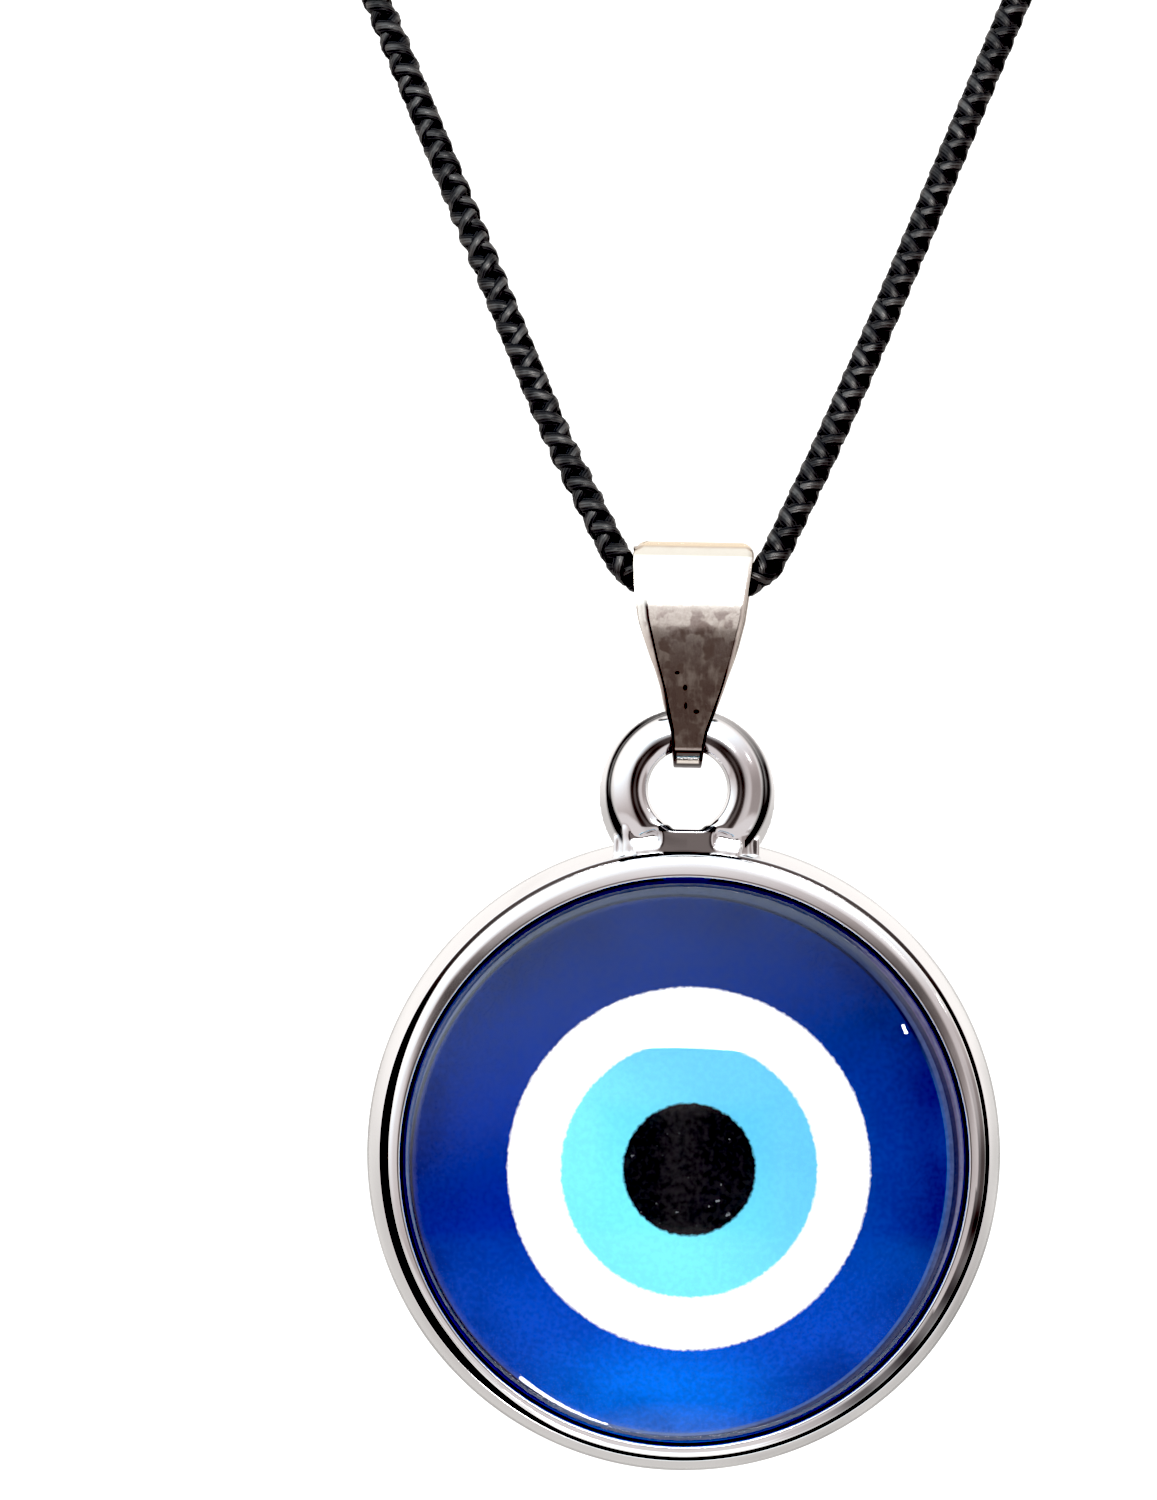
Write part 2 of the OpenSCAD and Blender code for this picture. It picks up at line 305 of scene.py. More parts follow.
step = calc(plait, "DIVIDE", given["Pitch"], given["Steps"])
route = put(
    plait, "GeometryNodeResampleCurve", {"Curve": given["Route"], "Length": step}, mode="LENGTH"
).outputs[0]
four = put(plait, "GeometryNodeDuplicateElements", {"Geometry": route, "Amount": 4}, domain="SPLINE")
number = four.outputs["Duplicate Index"]
hand = calc(plait, "MULTIPLY_ADD", calc(plait, "MODULO", number, 2.0), -2.0, 1.0)
half_turn = calc(plait, "MULTIPLY", calc(plait, "FLOOR", calc(plait, "DIVIDE", number, 2.0)), math.pi)
gone = put(plait, "GeometryNodeSplineParameter").outputs["Length"]
turned = calc(plait, "MULTIPLY", calc(plait, "DIVIDE", gone, given["Pitch"]), math.tau)
twisted = calc(plait, "MINIMUM", gone, given["Twisted"])
twisted = calc(plait, "MULTIPLY_ADD", twisted, given["Twist"], given["Turn"])
swing = calc(plait, "MULTIPLY_ADD", hand, turned, calc(plait, "ADD", half_turn, twisted))
over = calc(plait, "COSINE", calc(plait, "MULTIPLY", turned, 2.0))
over = calc(plait, "MULTIPLY", over, given["Weave"])
reach = calc(plait, "ADD", given["Radius"], calc(plait, "MULTIPLY", over, hand))
heading = put(plait, "GeometryNodeInputTangent").outputs[0]
across = vector_calc(plait, "NORMALIZE", vector_calc(plait, "CROSS_PRODUCT", heading, CORD_NORMAL))
outward = vector_calc(plait, "CROSS_PRODUCT", across, heading)


def scaled(vector, by):
    """A vector field scaled by a number field, in the plait's tree."""
    return put(plait, "ShaderNodeVectorMath", {0: vector, "Scale": by}, operation="SCALE").outputs[0]


def noted(geometry, name, value, kind):
    """Writes a field on a curve's points under a name, in the plait's tree."""
    sockets = {"Geometry": geometry, "Name": name, "Value": value}
    store = "GeometryNodeStoreNamedAttribute"
    return put(plait, store, sockets, data_type=kind, domain="POINT").outputs[0]


def circle(corners, radius):
    """A circle curve, in the plait's tree."""
    sockets = {"Resolution": corners, "Radius": radius}
    return put(plait, "GeometryNodeCurvePrimitiveCircle", sockets).outputs["Curve"]


def swept(curve, section):
    """A closed skin swept along a curve, in the plait's tree."""
    sockets = {"Curve": curve, "Profile Curve": section, "Fill Caps": True}
    return put(plait, "GeometryNodeCurveToMesh", sockets).outputs[0]


radial = vector_calc(
    plait, "ADD", scaled(across, calc(plait, "COSINE", swing)),
    scaled(outward, calc(plait, "SINE", swing)),
)
laid = noted(four.outputs["Geometry"], "radial", radial, "FLOAT_VECTOR")
laid = noted(laid, "along_yarn", gone, "FLOAT")
laid = put(
    plait, "GeometryNodeSetPosition", {"Geometry": laid, "Offset": scaled(radial, reach)}
).outputs[0]
facing = put(
    plait, "GeometryNodeInputNamedAttribute", {"Name": "radial"}, data_type="FLOAT_VECTOR"
).outputs[0]
laid = put(
    plait, "GeometryNodeSetCurveNormal", {"Curve": laid, "Normal": facing}, mode="FREE"
).outputs[0]
spot = put(plait, "GeometryNodeInputPosition").outputs[0]
ring = noted(circle(8, 0.5), "round_yarn", spot, "FLOAT_VECTOR")
corner = put(plait, "ShaderNodeSeparateXYZ", {0: spot})
corner = calc(plait, "ARCTAN2", corner.outputs["Y"], corner.outputs["X"])
corner = calc(plait, "SUBTRACT", corner, calc(plait, "MULTIPLY", calc(plait, "SINE", corner), 0.45))
spread = put(plait, "ShaderNodeCombineXYZ", {
    0: calc(plait, "MULTIPLY", calc(plait, "COSINE", corner), 0.5),
    1: calc(plait, "MULTIPLY", calc(plait, "SINE", corner), 0.5),
}).outputs[0]
ring = put(plait, "GeometryNodeSetPosition", {"Geometry": ring, "Position": spread}).outputs[0]
oval = put(
    plait, "ShaderNodeCombineXYZ", {0: given["Yarn Height"], 1: given["Yarn Width"], 2: 1.0}
).outputs[0]
oval = put(plait, "GeometryNodeTransform", {"Geometry": ring, "Scale": oval}).outputs[0]
joined = plait.nodes.new("GeometryNodeJoinGeometry")
for part in (swept(given["Route"], circle(6, given["Core"])), swept(laid, oval)):
    plait.links.new(part, joined.inputs[0])
whole = put(plait, "GeometryNodeRealizeInstances", {0: joined.outputs[0]}).outputs[0]
whole = put(
    plait, "GeometryNodeSetMaterial", {"Geometry": whole, "Material": given["Finish"]}
).outputs[0]
put(plait, "NodeGroupOutput", {0: whole})

line = bpy.data.curves.new("cord_route", "CURVE")
line.dimensions = "3D"
run = line.splines.new("POLY")
stops = smooth_route([BAIL_EYE + Vector(p) * MM for p in CORD_ROUTE], ROUTE_STEPS)
run.points.add(len(stops) - 1)
for point, stop in zip(run.points, stops):
    point.co = (*stop, 1)
guide = bpy.data.objects.new("cord_route", line)
bpy.context.scene.collection.objects.link(guide)
braider = guide.modifiers.new("plait", "NODES")
braider.node_group = plait
for item in plait.interface.items_tree:
    if item.name in PLAIT_SIZES:
        braider[item.identifier] = PLAIT_SIZES[item.name]
    elif item.name == "Finish":
        braider[item.identifier] = nylon
posed = guide.evaluated_get(bpy.context.evaluated_depsgraph_get())
cord = modelled("braided_cord", bpy.data.meshes.new_from_object(posed), nylon)
bpy.data.objects.remove(guide)
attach(cord, "cord_loop")
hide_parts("cord")


# Clasp. A turned barrel of plated brass that closes the loop at the nape. It is bored at both ends
# for the glued cord, and a groove runs round each half.
def turns_between(start, end, count):
    """Cosines and sines of evenly spaced angles between two angles in degrees."""
    angles = [math.radians(start + (end - start) * k / count) for k in range(count + 1)]
    return [(math.cos(a), math.sin(a)) for a in angles]


def spin(profile, closed=False, segments=192):
    """Turns a profile of (radius, height) about Z; a third value says how much painted shade or grime
    blackens a point.

    An open profile starts and ends on the axis.
    """
    shape = bmesh.new()
    shade_and_grime = shape.verts.layers.float.new("shade_and_grime")
    rows = []
    for radius, height, *darkened in profile:
        turns = turns_between(0, 360, segments)[: 1 if radius == 0 else segments]
        row = [shape.verts.new((radius * c, radius * s, height)) for c, s in turns]
        for corner in row:
            corner[shade_and_grime] = darkened[0] if darkened else 0
        rows.append(row * segments if radius == 0 else row)
    for i in range(len(rows) if closed else len(rows) - 1):
        low, high = rows[i], rows[(i + 1) % len(rows)]
        for k in range(segments):
            corners = (low[k], low[(k + 1) % segments], high[(k + 1) % segments], high[k])
            shape.faces.new(tuple(dict.fromkeys(corners)))
    bmesh.ops.recalc_face_normals(shape, faces=shape.faces)
    mesh = bpy.data.meshes.new("turned")
    shape.to_mesh(mesh)
    shape.free()
    return mesh


def arc(centre, radius, start, end, count):
    """Points of a profile on an arc between two angles in degrees."""
    turns = turns_between(start, end, count)
    return [(centre[0] + radius * c, centre[1] + radius * s) for c, s in turns]


polish = bpy.data.node_groups.new("handled_metal", "ShaderNodeTree")
for label, kind in (("Place", "Vector"), ("Grain", "Float"), ("Low", "Float"), ("High", "Float")):
    polish.interface.new_socket(label, in_out="INPUT", socket_type="NodeSocket" + kind)
for label in ("Roughness", "Height", "Dirt"):
    polish.interface.new_socket(label, in_out="OUTPUT", socket_type="NodeSocketFloat")
given = put(polish, "NodeGroupInput").outputs
fine = put(
    polish, "ShaderNodeTexNoise", {"Vector": given["Place"], "Scale": given["Grain"], "Detail": 6.0}
).outputs[0]
broad = put(
    polish, "ShaderNodeTexNoise",
    {"Vector": given["Place"], "Scale": calc(polish, "MULTIPLY", given["Grain"], 0.22), "Detail": 2.0},
).outputs[0]
smear = calc(polish, "MULTIPLY_ADD", fine, 0.4, calc(polish, "MULTIPLY", broad, 0.6))
rough = put(polish, "ShaderNodeMapRange", {
    "Value": smear, "From Min": 0.35, "From Max": 0.65, "To Min": given["Low"], "To Max": given["High"],
}).outputs[0]
dusty = ease(polish, broad, 0.5, 0.7)
put(polish, "NodeGroupOutput", {"Roughness": rough, "Height": smear, "Dirt": dusty})
# The black of painted shade in grooves, gaps and creases, of painted dark reflections, and of grime.
SHADE_AND_GRIME_BLACK = (0.012, 0.01, 0.012)


def metal(name, colour, dirt, grain, low, high, bump):
    """A cast or turned metal with smears that change its gloss and its colour a little, and black where
    painted shade or grime lies.
    """
    finish, tree, shader, place = finish_named(name)
    sockets = {"Place": place, "Grain": grain, "Low": low, "High": high}
    wear = put(tree, "ShaderNodeGroup", sockets, node_tree=polish)
    darkened = put(tree, "ShaderNodeAttribute", attribute_name="shade_and_grime").outputs["Fac"]
    worn = blend_colours(tree, wear.outputs["Dirt"], colour, dirt)
    uneven = {"Height": wear.outputs["Height"], "Strength": bump, "Distance": 0.02 * MM}
    feed(
        tree, shader, Metallic=1.0, Roughness=wear.outputs["Roughness"],
        Base_Color=blend_colours(tree, darkened, worn, SHADE_AND_GRIME_BLACK),
        Normal=put(tree, "ShaderNodeBump", uneven).outputs[0],
    )
    return finish


clasp_low, clasp_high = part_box("clasp")
clasp_r = (clasp_high.z - clasp_low.z) / 2
clasp_half = (clasp_high.x - clasp_low.x) / 2
SOCKET_R = 0.8 * MM
SOCKET_FLOOR = 3.95 * MM
CLASP_ROUND = 0.8 * MM
CLASP_GROOVE = 0.12 * MM
half_clasp = (
    [(0, SOCKET_FLOOR), (SOCKET_R, SOCKET_FLOOR), (SOCKET_R, clasp_half - 0.1 * MM)]
    + arc((SOCKET_R + 0.1 * MM, clasp_half - 0.1 * MM), 0.1 * MM, 180, 90, 3)
    + arc((clasp_r - CLASP_ROUND, clasp_half - CLASP_ROUND), CLASP_ROUND, 90, 0, 8)
    + [(clasp_r, 1.2 * MM), (clasp_r - CLASP_GROOVE, 1.1 * MM), (clasp_r - CLASP_GROOVE, 0.9 * MM)]
    + [(clasp_r, 0.8 * MM), (clasp_r, 0.06 * MM), (clasp_r - 0.06 * MM, 0)]
)
barrel = spin(half_clasp + [(r, -h) for r, h in reversed(half_clasp[:-1])], segments=96)
for corner in barrel.vertices:
    x, y, z = corner.co
    corner.co = (clasp_low + clasp_high) / 2 + Vector((z, y, -x))
plated = metal("plated_clasp", (0.78, 0.77, 0.75), (0.62, 0.6, 0.57), 900, 0.12, 0.28, 0.15)
clasp = modelled("barrel_clasp", barrel, plated)
barrel.set_sharp_from_angle(angle=math.radians(40))
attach(clasp, "cord_loop")
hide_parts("clasp")

# Bail. One strip of silvery sheet, folded over the cord and closed under the loop of the tray.
# It is tarnished brown on its flat front, rubbed bright along its edges and over its fold, and a
# little yellow on top. Black lines of painted shade run beside its edges, across the crease above
# its foot and round the foot's bright underside. Its left edge bulges, and its foot stands slightly to
# the left.
BAIL_EYE_R = 1.2 * MM
STRIP = 0.45 * MM
BAIL_DROP = 6.7 * MM
FOOT_R = 1.25 * MM
TOP_W = 5.2 * MM
FOOT_W = 1.25 * MM
TOP_CORNER = 0.5 * MM
EDGE_R = 0.07 * MM
BACK_SHIFT = 0.15 * MM
FOOT_SHIFT = 0.17 * MM
HAMMERED_LEFT = 0.28 * MM
HAMMERED_RIGHT = 0.14 * MM
HAMMER_SLOPE = 0.5
SPREAD_LEFT = 0.18 * MM
LEFT_BULGE = 0.17 * MM
# The width of the flat band beside each edge that carries a black line of painted shade.
BORDER = 0.07 * MM
# The taper: share of the height from the top, and share of the extra width that is left there.
BAIL_TAPER = [
    (0, 1), (0.1, 0.96), (0.35, 0.79), (0.52, 0.58), (0.7, 0.31), (0.84, 0.095), (0.93, 0.03), (1, 0),
]
SILVER = (0.92, 0.86, 0.79)
TARNISH = (0.44, 0.37, 0.345)
PALE_FILM = (0.56, 0.47, 0.39)
YELLOW_FILM = (0.9, 0.75, 0.56)
# Black for the pits in the tarnish and for the painted shade beside the edges, at the crease and round
# the foot.
PIT_AND_SHADE_BLACK = (0.05, 0.035, 0.035)
# Pits in the tarnish: x, z, half their width and half their height, in millimetres.
PITS = [
    (-0.36, -154.85, 0.09, 0.12), (-0.32, -155.65, 0.06, 0.14), (0.16, -155.9, 0.12, 0.09),
    (-0.72, -154.2, 0.1, 0.07),
]
bail_top = BAIL_EYE_R + STRIP
bail_h = bail_top + BAIL_DROP + FOOT_R + STRIP


def clamped(value):
    """The number, kept between 0 and 1."""
    return min(max(value, 0), 1)


def strip_width(height):
    """Half the strip's width at a height above the cord's centre, seen from the front."""
    down = clamped((bail_top - height) / bail_h)
    for (a, wide_a), (b, wide_b) in zip(BAIL_TAPER, BAIL_TAPER[1:]):
        if down <= b:
            share = wide_a + (wide_b - wide_a) * (down - a) / (b - a)
            break
    half = (FOOT_W + share * (TOP_W - FOOT_W)) / 2
    into_corner = max(TOP_CORNER - (bail_top - height), 0)
    return half - TOP_CORNER + math.sqrt(TOP_CORNER**2 - min(into_corner, TOP_CORNER) ** 2)


def bend(start, start_way, end, end_way, pull, count):
    """Points and outward normals on a smooth bend between two points of the folded strip."""
    (a, b), (way_a, way_b) = (Vector(start), Vector(end)), (Vector(start_way), Vector(end_way))
    way_a = way_a.normalized() * pull
    way_b = way_b.normalized() * pull
    made = []
    for k in range(count):
        t = k / count
        spot = (2 * t**3 - 3 * t**2 + 1) * a + (t**3 - 2 * t**2 + t) * way_a
        spot += (3 * t**2 - 2 * t**3) * b + (t**3 - t**2) * way_b
        run = (6 * t**2 - 6 * t) * (a - b) + (3 * t**2 - 4 * t + 1) * way_a
        run += (3 * t**2 - 2 * t) * way_b
        run.normalize()
        made.append((spot.x * MM, spot.y * MM, run.y, -run.x))
    return made


# The strip's middle line in millimetres (backwards, up) from the cord's centre: over the cord, down
# the front, round the foot and up the back. Each bend has its ends, their ways, its pull and its steps.
stations = (
    bend((0, 1.425), (-1, 0), (-1.18, 0), (-0.29, -0.957), 2.15, 20)
    + bend((-1.18, 0), (-0.29, -0.957), (-1.47, -1.15), (-0.215, -0.977), 1.18, 8)
    + bend((-1.47, -1.15), (-0.215, -0.977), (-1.51, -1.42), (-0.118, -1), 0.27, 4)
    + bend((-1.51, -1.42), (-0.118, -1), (-1.586, -2.1), (-0.105, -1), 0.68, 8)
    + bend((-1.586, -2.1), (-0.105, -1), (-1.625, -2.95), (-0.004, -1), 0.85, 8)
    + bend((-1.625, -2.95), (-0.004, -1), (-1.475, -7.4), (0.03, -1), 4.45, 22)
    + bend((-1.475, -7.4), (0.03, -1), (0, -8.175), (1, 0), 1.7, 16)
    + bend((0, -8.175), (1, 0), (1.475, -6.7), (0, 1), 2.44, 16)
    + bend((1.475, -6.7), (0, 1), (1.425, 0), (0, 1), 6.7, 36)
    + bend((1.425, 0), (0, 1), (0, 1.425), (-1, 0), 2.36, 16)
)

middle = BAIL_EYE_R + STRIP / 2
shape = bmesh.new()
wear_layer = shape.verts.layers.float.new("rubbed")
rows = []
for y, z, out_y, out_z in stations:
    row = []
    shifted = BACK_SHIFT * clamped(y / middle) * clamped((z / MM + 5.5) / 2.5)
    shifted -= FOOT_SHIFT * clamped((-z / MM - 4.9) / 2.5)
    swollen = math.sin(math.pi * clamped((1.2 - z / MM) / 5.2)) * (y < 0)
    for face in (1, -1):
        reach = face * (STRIP / 2 - EDGE_R)
        half = strip_width(z + face * out_z * STRIP / 2)
        high_up = clamped((half * 2 - FOOT_W) / (TOP_W - FOOT_W))
        for side in (1, -1) if face == 1 else (-1, 1):
            bulge = LEFT_BULGE * swollen * (side == -1)
            hammered = (HAMMERED_LEFT if side == -1 else HAMMERED_RIGHT) * high_up * (y < 0) + bulge
            bend_in = [
                (-EDGE_R - hammered - BORDER, 0, 0.0), (-EDGE_R - hammered, 0, 0.1),
            ]
            for turn in (75, 50, 25, 0):
                a = math.radians(turn)
                sunk = EDGE_R * (math.sin(a) - 1) - HAMMER_SLOPE * hammered
                bend_in.append((EDGE_R * (math.cos(a) - 1), sunk, 1 - turn / 150))
            for inward, sunk, rub in bend_in if side == face else reversed(bend_in):
                x = side * (half + inward) + shifted - SPREAD_LEFT * high_up * (side == -1) - bulge
                if rub > 0.1 and y < 0:
                    rub = 0.1 + (rub - 0.1) * clamped(2.5 * high_up - 0.5)
                n = reach + face * (EDGE_R + sunk)
                corner = shape.verts.new(BAIL_EYE + Vector((x, y + out_y * n, z + out_z * n)))
                corner[wear_layer] = rub
                row.append(corner)
    # Six corners for each rounded edge of the section, put in order round it.
    rows.append(row[0:6] + row[18:24] + row[12:18] + row[6:12])
for near, far in zip(rows, rows[1:] + rows[:1]):
    for k in range(len(near)):
        after = (k + 1) % len(near)
        shape.faces.new((near[k], near[after], far[after], far[k]))
bmesh.ops.recalc_face_normals(shape, faces=shape.faces)
folded = bpy.data.meshes.new("folded_strip")
shape.to_mesh(folded)
shape.free()

tarnished, tree, shader, place = finish_named("tarnished_bail")
spot = put(tree, "ShaderNodeSeparateXYZ", {0: place}).outputs


def by_height(start, end, low=0.0, high=1.0):
    """Goes from low to high between two heights on the bail, in millimetres."""
    return ease(tree, spot["Z"], start * MM, end * MM, low, high)


streaked = put(tree, "ShaderNodeMapping", {"Vector": place, "Scale": (1.0, 1.0, 0.3)}).outputs[0]
clouds = put(tree, "ShaderNodeTexNoise", {"Vector": place, "Scale": 2000.0, "Detail": 4.0}).outputs[0]
streaks = {"Vector": streaked, "Scale": 4200.0, "Detail": 3.0}
streaks = put(tree, "ShaderNodeTexNoise", streaks).outputs[0]
mottle = calc(tree, "MULTIPLY_ADD", streaks, 0.45, calc(tree, "MULTIPLY", clouds, 0.55))
dirty = calc(tree, "MULTIPLY_ADD", mottle, 4.6, -2.15)
dirty = ease(tree, calc(tree, "MULTIPLY_ADD", by_height(-151.7, -155.0), 0.7, dirty), -0.2, 1.3)
above = by_height(-151.35, -150.9)
dirty = calc(tree, "MULTIPLY", dirty, calc(tree, "MULTIPLY_ADD", above, -0.85, 1.0))
rubbed = put(tree, "ShaderNodeAttribute", attribute_name="rubbed").outputs["Fac"]
shining = ease(tree, rubbed, 0.2, 0.5)
scraped = put(tree, "ShaderNodeTexNoise", {"Vector": place, "Scale": 1300.0, "Detail": 2.0}).outputs[0]
scraped = calc(tree, "MULTIPLY", ease(tree, scraped, 0.56, 0.44), by_height(-151.3, -151.6))
dirty = calc(tree, "MAXIMUM", dirty, calc(tree, "MULTIPLY", scraped, 0.85))
dirty = calc(tree, "MULTIPLY", dirty, calc(tree, "SUBTRACT", 1.0, shining))
dirty = calc(tree, "MULTIPLY", dirty, by_height(-157.5, -157.66, 1.0, 0.1))
# A black line of painted shade beside each edge, and over the whole edge low on the front; it leaves
# off at the top and the upper right.
border = calc(tree, "MULTIPLY", ease(tree, rubbed, 0.01, 0.06), ease(tree, rubbed, 0.25, 0.12))
border = calc(tree, "MULTIPLY", border, calc(tree, "SUBTRACT", 1.0, above))
upper_right = calc(
    tree, "MULTIPLY", ease(tree, spot["X"], 0.2 * MM, 0.6 * MM), by_height(-154.4, -153.6, 0.0, 0.8))
border = calc(tree, "MULTIPLY", border, calc(tree, "SUBTRACT", 1.0, upper_right))
# Painted shade: a black line across the crease above the foot, and a dark frame round the foot's bright
# underside.
crease = calc(tree, "MULTIPLY", by_height(-157.56, -157.64), by_height(-157.8, -157.72))
off_foot = calc(tree, "ABSOLUTE", calc(tree, "ADD", spot["X"], FOOT_SHIFT))
foot_edge = ease(tree, off_foot, 0.44 * MM, 0.52 * MM)
for rim in (by_height(-158.16, -158.24), by_height(-157.95, -157.87, 0.0, 0.85)):
    foot_edge = calc(tree, "MAXIMUM", foot_edge, rim)
foot_edge = calc(tree, "MULTIPLY", foot_edge, by_height(-157.6, -157.7))
border = calc(tree, "MAXIMUM", calc(tree, "MAXIMUM", border, crease), foot_edge)
pits = 0.0
for x, z, wide, tall in PITS:
    away = vector_calc(tree, "SUBTRACT", place, (x * MM, 0.0, z * MM))
    away = vector_calc(tree, "LENGTH", vector_calc(tree, "MULTIPLY", away, (1 / wide, 0.0, 1 / tall)))
    pits = calc(tree, "MAXIMUM", ease(tree, away, 1.4 * MM, 0.6 * MM), pits)
on_front = ease(tree, spot["Y"], BAIL_EYE.y, BAIL_EYE.y - 0.5 * MM)
pits = calc(tree, "MULTIPLY", pits, on_front)
stained = blend_colours(tree, dirty, SILVER, TARNISH)
film = blend_colours(tree, by_height(-148.62, -148.5), PALE_FILM, YELLOW_FILM)
stained = blend_colours(tree, by_height(-149.06, -148.96, 0.0, 0.9), stained, film)
# Black for the pits and for the painted shade lines.
stained = blend_colours(tree, calc(tree, "MAXIMUM", pits, border), stained, PIT_AND_SHADE_BLACK)
uneven = put(tree, "ShaderNodeBump", {"Height": mottle, "Strength": 0.5, "Distance": 0.02 * MM})
feed(
    tree, shader, Metallic=1.0, Base_Color=stained, Normal=uneven.outputs[0],
    Roughness=ease(tree, mottle, 0.35, 0.65, 0.1, 0.22),
)
bail = modelled("folded_bail", folded, tarnished)
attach(bail, "bail")
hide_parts("bail")

# Tray. A plated casting: a shallow cup with a drafted wall and a rounded lip, set off by a groove that
# is widest at the lower left, and a wire loop on top whose feet flow into the wall.
glass_low, glass_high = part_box("glass")
AXIS_X = (glass_low.x + glass_high.x) / 2
AXIS_Z = (glass_low.z + glass_high.z) / 2
BACK_Y = -111.0 * MM
CUP_R = 12.6 * MM
RIM_R = 13.45 * MM
TRAY_R = 14.15 * MM
LIP_CREST = 12.7 * MM
LIP_H = 2.76 * MM
GROOVE_IN = 13.38 * MM
GROOVE_OUT = 13.5 * MM
GROOVE_FLOOR = 2.6 * MM
GROOVE_SPREAD = 0.4
GROOVE_TURN = -165
FLOOR_H = 1.0 * MM
CAST_UP = 0.25 * MM
BACK_UP = 0.2 * MM


def stand(mesh):
    """Moves a mesh turned about Z into the tray: its height runs forwards from the tray's back."""
    for corner in mesh.vertices:
        x, y, z = corner.co
        corner.co = (AXIS_X + x, BACK_Y - z, AXIS_Z + y)


# A third value in the profile is painted shade: black in the groove, down the inner wall behind the
# glass's edge and on the floor under the print.
cup = (
    [(0, 0), (TRAY_R - 0.32 * MM, 0)]
    + arc((TRAY_R - 0.3 * MM, 0.3 * MM), 0.3 * MM, -90, 5, 5)
    + [(GROOVE_OUT + 0.06 * MM, 2.72 * MM), (GROOVE_OUT + 0.03 * MM, 2.75 * MM)]
    + [(GROOVE_OUT + 0.005 * MM, 2.74 * MM, 1), (GROOVE_OUT, GROOVE_FLOOR, 1)]
    + [(GROOVE_IN, GROOVE_FLOOR, 1), (GROOVE_IN, 2.74 * MM, 1)]
    + [(LIP_CREST + 0.68 * MM * c, LIP_H + 0.38 * MM * s) for c, s in turns_between(0, 70, 13)]
    + [(LIP_CREST + 0.04 * MM, LIP_H + 0.394 * MM)]
    + arc((LIP_CREST, LIP_H + 0.3 * MM), 0.1 * MM, 78, 180, 7)
    + [(CUP_R, 2.75 * MM), (CUP_R, 2.6 * MM, 0.3), (CUP_R, 1.9 * MM, 0.6)]
    + [(CUP_R, FLOOR_H, 1), (0, FLOOR_H, 1)]
)
dish = spin(cup, segments=256)
for corner, darkness in zip(dish.vertices, dish.attributes["shade_and_grime"].data):
    far = corner.co.xy.length
    # The groove fills up towards the top, where its painted shade fades, and spreads into the lip
    # towards the lower left.
    if darkness.value and corner.co.z > FLOOR_H and far > 13 * MM:
        on_top = max(corner.co.y / RIM_R, 0) ** 2
        darkness.value *= 1 - 0.8 * on_top
        corner.co.z += max(2.72 * MM - corner.co.z, 0) * on_top
    if 12.9 * MM < far < RIM_R:
        around = math.atan2(corner.co.y, corner.co.x)
        low_left = clamped((math.cos(around - math.radians(GROOVE_TURN)) - 0.62) / 0.3)
        corner.co.xy *= 1 - GROOVE_SPREAD * low_left * (far - 12.9 * MM) / far
    # The casting stands a little higher than the glass, its lip a little more than its back.
    up_by = CAST_UP if corner.co.z > 2.5 * MM else BACK_UP
    corner.co.y += up_by * clamped((far / MM - 12.7) / 0.5)
    # The wall is darker in patches at the lower right, and a painted dark reflection dulls the lip's
    # flank there.
    around = math.atan2(corner.co.y, corner.co.x)
    from_lip_axis = (corner.co.xy - Vector((0, CAST_UP))).length
    if 0.2 * MM < corner.co.z < 2.5 * MM and corner.co.xy.length > 13.6 * MM:
        patchy = 0.55 + 0.3 * math.sin(9 * around) + 0.15 * math.sin(23 * around + 1)
        darkness.value = 0.85 * max(math.cos(around + 0.6), 0) ** 2 * patchy
    elif corner.co.z > 2.755 * MM and 13.0 * MM < from_lip_axis < 13.4 * MM:
        turn = math.degrees(around)
        lip_dark_reflection = clamped((turn + 72) / 22) * clamped((22 - turn) / 25)
        darkness.value = lip_dark_reflection * (0.8 + 0.1 * math.sin(turn / 2.3))
stand(dish)
chrome = metal("plated_tray", (0.9, 0.89, 0.9), (0.78, 0.75, 0.76), 500, 0.06, 0.16, 0.12)
tray = modelled("tray_cup", dish, chrome)
dish.set_sharp_from_angle(angle=math.radians(50))
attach(tray, "pendant")
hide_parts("tray")

# The loop is a ring of wire, open at the bottom and thinner there, with two feet, a bridge between
# them and small fillets at the wall. All are melted into one skin, as soft as a worn casting.
LOOP_Z = -159.35 * MM
LOOP_Y = -113.0 * MM
LOOP_R = 2.65 * MM
WIRE_R = 0.85 * MM
DRAFT = 0.45
SAG = 0.3
LOOP_X = -0.14 * MM
CREST_IN = 0.35
RING_END = 156
THIN_FROM = 134
FOOT_PATH = [(2.4, -1.7), (2.32, -2.3), (2.38, -3.3)]
WIRE_CORNERS = 24
RING_STEPS = 90
SEAT_STEPS = 18


def into(shape, profile, segments, place=(0, 0, 0)):
    """Adds a closed turned ring, in millimetres about the loop's axis, to a shape."""
    turns = turns_between(0, 360, segments)[:-1]
    rows = [
        [shape.verts.new(Vector(place) + Vector((r * c, r * s, h))) for c, s in turns]
        for r, h in profile
    ]
    for here, there in zip(rows, rows[1:] + rows[:1]):
        for k in range(segments):
            after = (k + 1) % segments
            shape.faces.new((here[k], here[after], there[after], there[k]))


def skin(shape, rows):
    """Joins rows of corners into a bar and closes both its ends."""
    for near, far in zip(rows, rows[1:]):
        for k in range(len(near)):
            after = (k + 1) % len(near)
            shape.faces.new((near[k], near[after], far[after], far[k]))
    shape.faces.new(rows[0])
    shape.faces.new(rows[-1])


